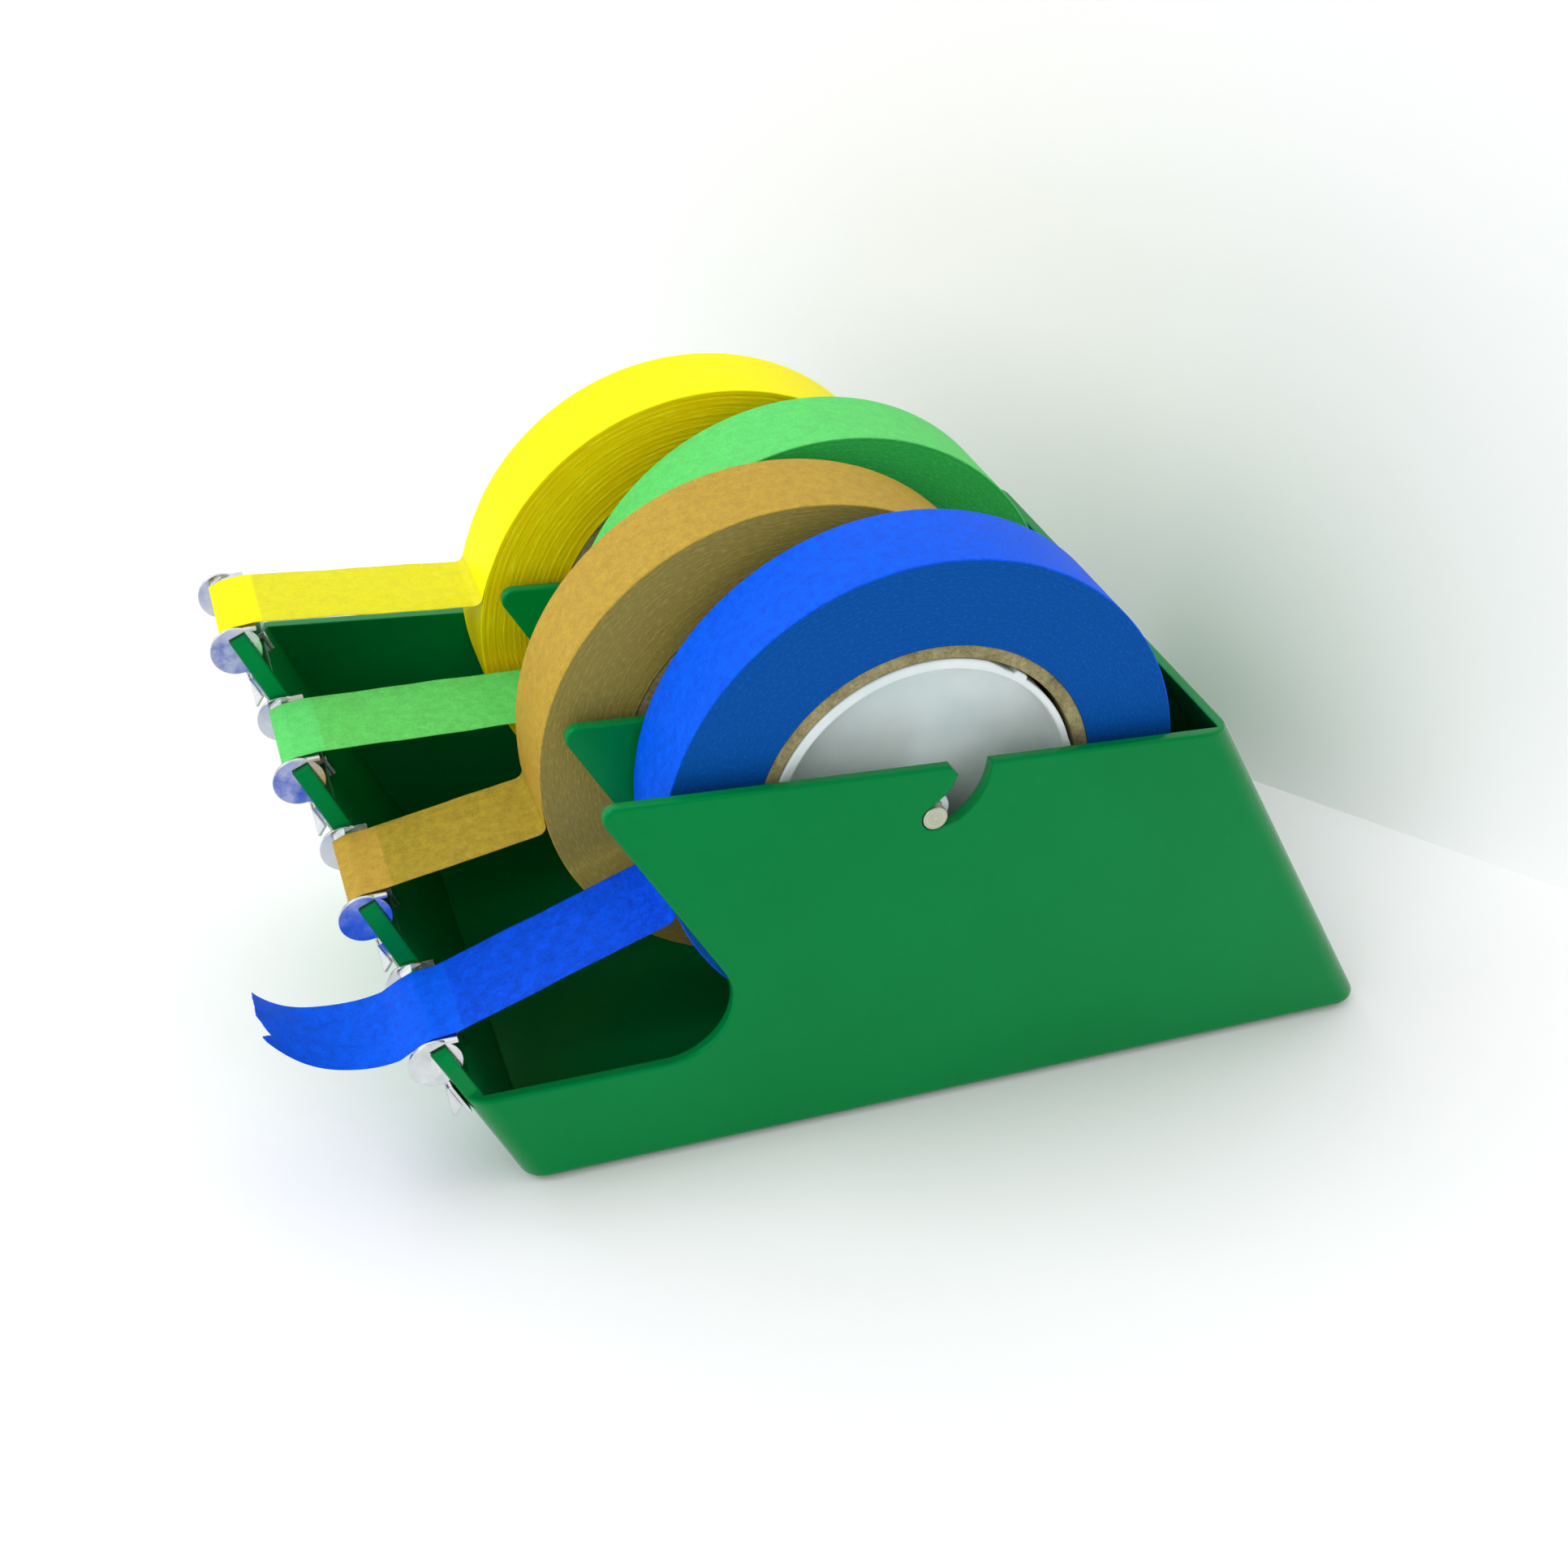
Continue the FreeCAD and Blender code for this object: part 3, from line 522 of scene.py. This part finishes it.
# %% Hubs
for colour in COLOURS:
    x, _, z = axle_at[colour]
    near, far = (corner[1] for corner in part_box("core_" + colour))
    near, far = near - RIM_PAST_CORE, far + RIM_PAST_CORE
    boss_near, boss_far = (corner[1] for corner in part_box("hub_" + colour))
    web_near, web_far = near + 0.007, near + 0.010
    corners = [(BORE, boss_near), (BOSS, boss_near), (BOSS, web_near), (RIM_INSIDE, web_near),
               (RIM_INSIDE, near), (RIM_OUTSIDE, near), (RIM_OUTSIDE, far), (RIM_INSIDE, far),
               (RIM_INSIDE, web_far), (BOSS, web_far), (BOSS, boss_far), (BORE, boss_far)]
    radii = [0.0002, 0.0004, 0.0012, 0.0012, 0.0006, 0.0006, 0.0006, 0.0006, 0.0012, 0.0012, 0.0004, 0.0002]
    hub = face_outwards(turned(colour + "_hub", rounded(corners, radii), (x, 0, z), 720, hub_swell))
    hub.data.materials.append(reel)
    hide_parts("hub_" + colour)
    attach(hub, colour + "_roll")

# %% [markdown]
# ## Loose tape
#
# From each roll the tape peels off at an angle, as sticky tape does, curls over in a tight bend and runs
# nearly straight to the cutter's saddle, where it is pressed flat.  A cloth simulation would take long
# to settle on such a taut strip, and a ribbon carried along a worked-out path is just as true.

# %% A path off the roll and over the cutter
# PEEL is where the tape leaves its roll: an angle about the axle, in degrees from straight back, counted
# over the top.  LEAN is how far the front wall leans back.
PEEL = {"blue": 198.0, "brown": 192.2, "green": 183.2, "yellow": 169.0}
LEAN = math.atan(0.47)
PRESSED_POINTS = 30
TAIL_CENTRE, TAIL_RADIUS = (-0.0143, 0.0285), 0.0277


def over_head(colour, along, above):
    """A point of the cutter's own frame, which leans back with the wall, as (x, z)."""
    ears = ears_at[colour]
    return np.array([ears[0] + along * math.cos(LEAN) - above * math.sin(LEAN),
                     ears[2] + along * math.sin(LEAN) + above * math.cos(LEAN)])


def strip_path(colour):
    """The tape's centre line: down the roll, round a small bend, over the saddle, to the blade's edge.

    It starts a little inside the roll, so that no edge shows where it comes off.  The blue tape goes on
    past its blade in an arc that curls up.
    """
    x, _, z = axle_at[colour]
    angle = np.radians(np.linspace(PEEL[colour] - 9, PEEL[colour] - 1.5, PRESSED_POINTS))
    reach = roll_radius[colour] + np.linspace(-0.00022, 0.00016, PRESSED_POINTS)
    on_roll = np.stack([x + reach * np.cos(angle), z + reach * np.sin(angle)], axis=1)
    down = np.array([-math.sin(angle[-1]), math.cos(angle[-1])])
    rear = over_head(colour, 0.0078, 0.0036)
    crest = over_head(colour, 0.0024, 0.00535)
    edge = over_head(colour, -0.0014, 0.00535)
    corners = [on_roll[-1], on_roll[-1] + 0.0030 * down, rear, crest, edge]
    radii = [0.001, 0.0024, 0.006, 0.004, 0.001]
    if colour == "blue":
        ears = ears_at[colour]
        swing = np.radians(np.linspace(14, -55, 40))[:, None]
        centre = np.array([ears[0] + TAIL_CENTRE[0], ears[2] + TAIL_CENTRE[1]])
        tail = centre + TAIL_RADIUS * np.hstack([np.sin(swing), -np.cos(swing)])
        corners.append(tail[0])
        radii = radii[:4] + [0.003, 0.001]
        return np.concatenate([on_roll[:-1], rounded(corners, radii, 10, closed=False), tail[1:]])
    return np.concatenate([on_roll[:-1], rounded(corners, radii, 10, closed=False)])


# %% Even steps and torn ends
RIBBON_POINTS, RIBBON_COLUMNS = 520, 61


def even(path, count):
    """Points at equal steps along a path, and its length."""
    step = np.r_[0.0, np.cumsum(np.linalg.norm(np.diff(path, axis=0), axis=1))]
    keep = np.r_[True, np.diff(step) > 1e-7]
    at = np.linspace(0, step[-1], count)
    return np.stack([np.interp(at, step[keep], path[keep, k]) for k in (0, 1)], axis=1), step[-1]


def bitten_end(colour, across):
    """How far the free end is short of the full length: a tear on the blue tape, 20 teeth on the rest."""
    if colour != "blue":
        return 0.0004 * np.abs(((across * 20.0) % 1.0) * 2 - 1)
    bite = 0.0036 * np.clip(1 - np.abs(across - 0.27) / 0.24, 0, 1) ** 0.9
    bite += 0.0016 * np.clip((0.06 - across) / 0.06, 0, 1)
    chance = np.random.default_rng(7)
    return bite + 0.0005 * np.convolve(chance.random(len(across) + 2), [0.25, 0.5, 0.25], "valid")


# %% Ribbons
def loose_tape(colour):
    """Carry a ribbon as wide as the tape along its path, and return its length.

    A point at share u of the length and v of the width lies on the path at u, moved along Y by v.  The
    free end is pulled back by the torn or toothed outline, and slow waves lift the surface a little.
    """
    low, high = (np.array(corner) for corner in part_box("tape_strip_" + colour))
    path, length = even(strip_path(colour), RIBBON_POINTS)
    across = np.linspace(0, 1, RIBBON_COLUMNS)
    along = np.linspace(0, 1, RIBBON_POINTS)
    share = along[:, None] * (1 - bitten_end(colour, across)[None, :] / length)
    x, z = (np.interp(share, along, path[:, k]) for k in (0, 1))
    y = np.broadcast_to(low[1] + (high[1] - low[1]) * across, x.shape)
    ears = ears_at[colour]
    free = np.clip((x - ears[0] - 0.010) / 0.012, 0, 1) * np.clip((path[0, 0] - 0.004 - x) / 0.012, 0, 1)
    lift = 0.00010 * np.sin(across * 9 + x * 160) + 0.00006 * np.sin(x * 410 + across * 4)
    z = z + free * lift
    if colour == "blue":
        ahead_of_blade = np.clip((ears[0] - 0.006 - x) / 0.03, 0, 1)
        z = z + ahead_of_blade ** 2 * 0.0035 * (0.5 - across[None, :]) * 2 - 0.0004 * ahead_of_blade
        z = z + ahead_of_blade * 0.0003 * np.sin(across * 7 + x * 300)
    piece = grid_piece(colour + "_loose_tape", np.stack([x, y, z], axis=-1))
    # stuck is 1 on the roll and on the cutter's saddle, which keep the face colour; the free span between
    # them gets painted shade.
    stuck = np.clip((ears[0] + 0.0075 - x) / 0.0006, 0, 1)
    stuck = np.maximum(stuck, np.clip((0.0095 - share * length) / 0.0015, 0, 1))
    # The blue tail past the blade gets a quarter of the painted shade.
    if colour == "blue":
        stuck = stuck * (1 - 0.25 * ahead_of_blade)
    mark = piece.data.attributes.new("stuck", "FLOAT", "POINT")
    mark.data.foreach_set("value", stuck.reshape(-1).astype(np.float32))
    paper = piece.modifiers.new("thickness", "SOLIDIFY")
    paper.thickness = 0.00016
    paper.offset = 0.0
    piece.data.materials.append(paper_tape(colour, loose=True))
    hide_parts("tape_strip_" + colour)
    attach(piece, "tub")
    return length


for colour in COLOURS:
    print(colour, "loose tape", round(loose_tape(colour) * 1000, 1), "mm")

# %% [markdown]
# ## Plated cutters, steel pins and rubber feet
#
# The cutters are stamped from sheet and nickel plated, so they mirror what is around them, with slight
# smears that break the mirror.  The pins are plain cut steel with turning marks on their ends.  The
# feet are matt rubber.

# %% Metals and rubber
def nickel_plate():
    material, tree, shader, place = new_material("nickel_plate")
    smears = noise(tree, place, 240.0, 4.0, 0.6)
    colour = blend_colours(tree, spread(tree, smears, 0.3, 0.7), (0.56, 0.59, 0.60), (0.74, 0.76, 0.76))
    tree.links.new(colour, shader.inputs["Base Color"])
    shader.inputs["Metallic"].default_value = 1.0
    tree.links.new(spread(tree, smears, 0.3, 0.7, 0.14, 0.30), shader.inputs["Roughness"])
    relief(tree, shader, smears, 0.00012, 0.3, 0.0003)
    return material


def turned_steel(colour):
    material, tree, shader, place = new_material("turned_steel_" + colour)
    _, distance = about_axle(tree, place, colour)
    marks = node(tree, "ShaderNodeTexNoise", {
        "W": distance, "Scale": 3500.0, "Detail": 4.0}, noise_dimensions="1D").outputs["Fac"]
    steel = blend_colours(tree, spread(tree, marks, 0.3, 0.7), (0.36, 0.38, 0.28), (0.60, 0.62, 0.50))
    tree.links.new(steel, shader.inputs["Base Color"])
    shader.inputs["Metallic"].default_value = 1.0
    shader.inputs["Roughness"].default_value = 0.34
    relief(tree, shader, marks, 0.00005, 0.4, 0.0003)
    return material


def foot_rubber():
    material, tree, shader, place = new_material("foot_rubber")
    grain = noise(tree, place, 1200.0, 4.0, 0.7)
    colour = blend_colours(tree, spread(tree, grain, 0.3, 0.7), (0.018, 0.018, 0.018), (0.04, 0.04, 0.04))
    tree.links.new(colour, shader.inputs["Base Color"])
    shader.inputs["Roughness"].default_value = 0.8
    relief(tree, shader, grain, 0.00015, 0.5)
    return material


# %% Give the frame's own pieces their finishes
def finish_node(name, material):
    """Put one material in every slot of a frame node."""
    piece = frame["nodes"][name]
    if not piece.material_slots:
        piece.data.materials.append(material)
    for slot in piece.material_slots:
        slot.material = material


finish_node("body_shell", moulded_green())
finish_node("rubber_feet", foot_rubber())
plate = nickel_plate()
for colour in COLOURS:
    finish_node("cutter_bracket_" + colour, plate)
    finish_node("cutter_blade_" + colour, plate)
    finish_node("axle_" + colour, turned_steel(colour))
print("finished", len(frame["nodes"]), "nodes")

# %% [markdown]
# ## A pale room and soft light
#
# The dispenser stands on a white table near a white wall.  One large soft lamp from the left and above
# does the modelling and throws the pale shadow on the wall.  A weaker one, low on the camera's side,
# lightens the faces that look at the camera, and an even white surround fills the rest.  One small lamp
# would throw hard shadows, which a white room does not have.

# %% Table and wall
def white_paint():
    material, tree, shader, place = new_material("white_paint")
    clouds = spread(tree, noise(tree, place, 3.0, 3.0), 0.3, 0.7)
    colour = blend_colours(tree, clouds, (0.94, 0.945, 0.945), (0.96, 0.96, 0.96))
    tree.links.new(colour, shader.inputs["Base Color"])
    shader.inputs["Roughness"].default_value = 0.6
    return material


def flat_panel(name, corner, along, up_edge):
    """A flat sheet: corner + u * along + v * up_edge for u and v from 0 to 1."""
    u, v = np.meshgrid([0.0, 1.0], [0.0, 1.0], indexing="ij")
    points = np.array(corner) + u[..., None] * np.array(along) + v[..., None] * np.array(up_edge)
    panel = grid_piece(name, points)
    panel.data.materials.append(paint)
    return panel


REACH = 3.0
paint = white_paint()
flat_panel("table", (-REACH, -REACH, 0.0), (2 * REACH, 0.0, 0.0), (0.0, 2 * REACH, 0.0))
foot_of_wall = np.array([0.0255, 0.2215, 0.0])
line_of_wall = np.array([0.611, -0.792, 0.0])
flat_panel("wall", foot_of_wall - REACH * line_of_wall, 2 * REACH * line_of_wall, (0.0, 0.0, REACH))

# %% Lamps
world = bpy.data.worlds.new("surround")
world.use_nodes = True
surround = world.node_tree.nodes["Background"]
surround.inputs["Color"].default_value = (0.98, 0.98, 1.0, 1.0)
surround.inputs["Strength"].default_value = 0.63
bpy.context.scene.world = world


def soft_lamp(name, place, aim, size, power):
    """A square area lamp of size metres a side at place, turned to aim."""
    lamp_data = bpy.data.lights.new(name, "AREA")
    lamp_data.size = size
    lamp_data.energy = power
    lamp = bpy.data.objects.new(name, lamp_data)
    bpy.context.scene.collection.objects.link(lamp)
    lamp.location = place
    lamp.rotation_euler = (Vector(aim) - Vector(place)).to_track_quat("-Z", "Y").to_euler()


MIDDLE = (0.0, 0.0, 0.06)
soft_lamp("key", (-3.0, 1.0, 3.4), MIDDLE, 2.6, 90.0)
soft_lamp("fill", (-1.9, -1.7, 1.3), MIDDLE, 1.6, 17.0)
bpy.context.scene.view_settings.view_transform = "Standard"
